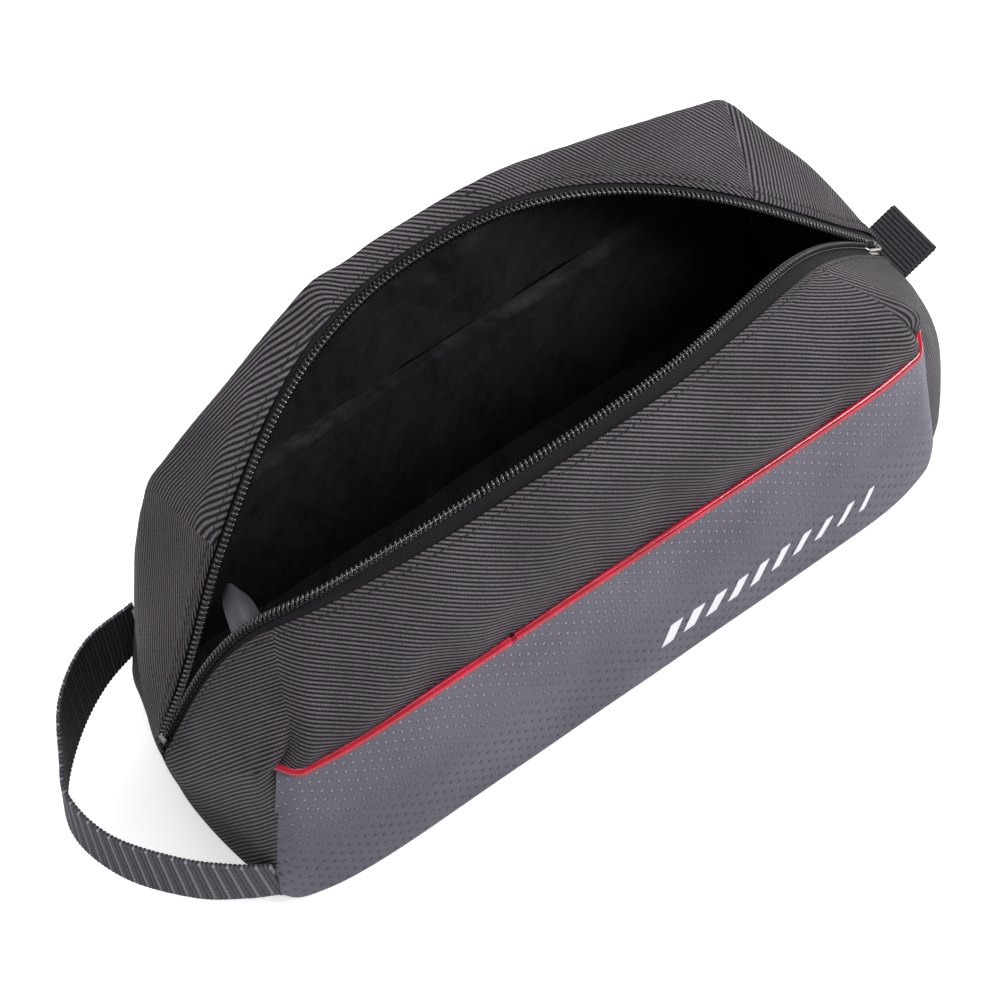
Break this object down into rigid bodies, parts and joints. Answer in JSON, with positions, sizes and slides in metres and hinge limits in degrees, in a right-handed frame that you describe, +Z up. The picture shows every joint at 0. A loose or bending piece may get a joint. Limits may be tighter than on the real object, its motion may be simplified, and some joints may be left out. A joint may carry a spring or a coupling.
{
  "type": "golf_shoe_bag",
  "caption": "Zipped golf shoe bag with dark twill sides, embossed front panel, red piping, webbing carry handle, end tab and an open zipped mouth.",
  "frame": {"origin": "centre of the base at its underside, midway between the two ends and between front and back", "axes": "+X along the bag towards the zipper's open end tab, -Y out of the front panel, +Z up"},
  "size_m": [0.4262, 0.1415, 0.1711],
  "materials": {
    "twill": "matte",
    "embossed_panel": "satin",
    "piping": "gloss",
    "lining": "satin",
    "foam": "matte",
    "board": "matte",
    "zip_tape": "matte",
    "zip_coil": "gloss",
    "webbing": "matte",
    "metal": "polished",
    "label": "matte"
  },
  "bodies": {
    "shell": {"base_panel": "embossed_panel", "base_board": "board", "front_panel_lower": "embossed_panel", "front_padding_lower": "foam", "back_panel_lower": "twill", "back_padding_lower": "foam", "front_piping_left": "piping", "front_piping_right": "piping", "lining_tub": "lining", "zip_stop_left": "metal", "zip_stop_right": "metal", "left_end_front": "twill", "zip_tape_front_left": "zip_tape", "zip_coil_front_left": "zip_coil", "left_end_back": "twill", "zip_tape_back_left": "zip_tape", "zip_coil_back_left": "zip_coil", "right_end_front": "twill", "zip_tape_front_right": "zip_tape", "zip_coil_front_right": "zip_coil", "right_end_back": "twill", "zip_tape_back_right": "zip_tape", "zip_coil_back_right": "zip_coil", "inner_label": "label"},
    "front_wall": {"front_panel_upper": "embossed_panel", "front_padding_upper": "foam", "front_piping": "piping"},
    "back_wall": {"back_panel_upper": "twill", "back_padding_upper": "foam"},
    "front_flap_body": {"front_flap": "twill", "front_flap_lining": "lining", "zip_tape_front": "zip_tape", "zip_coil_front": "zip_coil"},
    "back_flap_body": {"back_flap": "twill", "back_flap_lining": "lining", "zip_tape_back": "zip_tape", "zip_coil_back": "zip_coil"},
    "slider": {"slider_body": "metal", "slider_bail": "metal"},
    "pull": {"pull_ring": "metal"},
    "handle": {"carry_handle": "webbing"},
    "tab": {"end_tab": "webbing"}
  },
  "joints": [
    {"name": "front_flap_hinge", "type": "hinge", "parent": "shell", "child": "front_flap_body", "pos_m": [0, -0.06, 0.092], "axis": [-1, 0, 0], "range_deg": [0, 33], "stiffness_Nm_per_rad": 0.5},
    {"name": "back_flap_hinge", "type": "hinge", "parent": "shell", "child": "back_flap_body", "pos_m": [0, 0.06, 0.092], "axis": [1, 0, 0], "range_deg": [0, 46]},
    {"name": "front_wall_hinge", "type": "hinge", "parent": "shell", "child": "front_wall", "pos_m": [0, -0.068, 0.06], "axis": [-1, 0, 0], "range_deg": [0, 10.4]},
    {"name": "back_wall_hinge", "type": "hinge", "parent": "shell", "child": "back_wall", "pos_m": [0, 0.068, 0.06], "axis": [1, 0, 0], "range_deg": [0, 13.9]},
    {"name": "slider_travel", "type": "hinge", "parent": "shell", "child": "slider", "pos_m": [0, 0, -0.1269], "axis": [0, -1, 0], "range_deg": [0, 78]},
    {"name": "pull_ring_hinge", "type": "hinge", "parent": "slider", "child": "pull", "pos_m": [0.17416, 0, 0.08818], "axis": [0, -1, 0], "range_deg": [0, 110]},
    {"name": "carry_handle_swing", "type": "hinge", "parent": "shell", "child": "handle", "pos_m": [-0.171, 0, 0.03], "axis": [0, 1, 0], "range_deg": [0, 35]},
    {"name": "end_tab_flex", "type": "hinge", "parent": "shell", "child": "tab", "pos_m": [0.1885, 0, 0.07], "axis": [0, 1, 0], "range_deg": [-20, 20], "stiffness_Nm_per_rad": 0.02}
  ],
  "couplings": [
    {"joint": "back_flap_hinge", "follows": "front_flap_hinge", "ratio": 1.3939},
    {"joint": "front_wall_hinge", "follows": "front_flap_hinge", "ratio": 0.31515},
    {"joint": "back_wall_hinge", "follows": "front_flap_hinge", "ratio": 0.42121},
    {"joint": "slider_travel", "follows": "front_flap_hinge", "ratio": 2.3636}
  ]
}
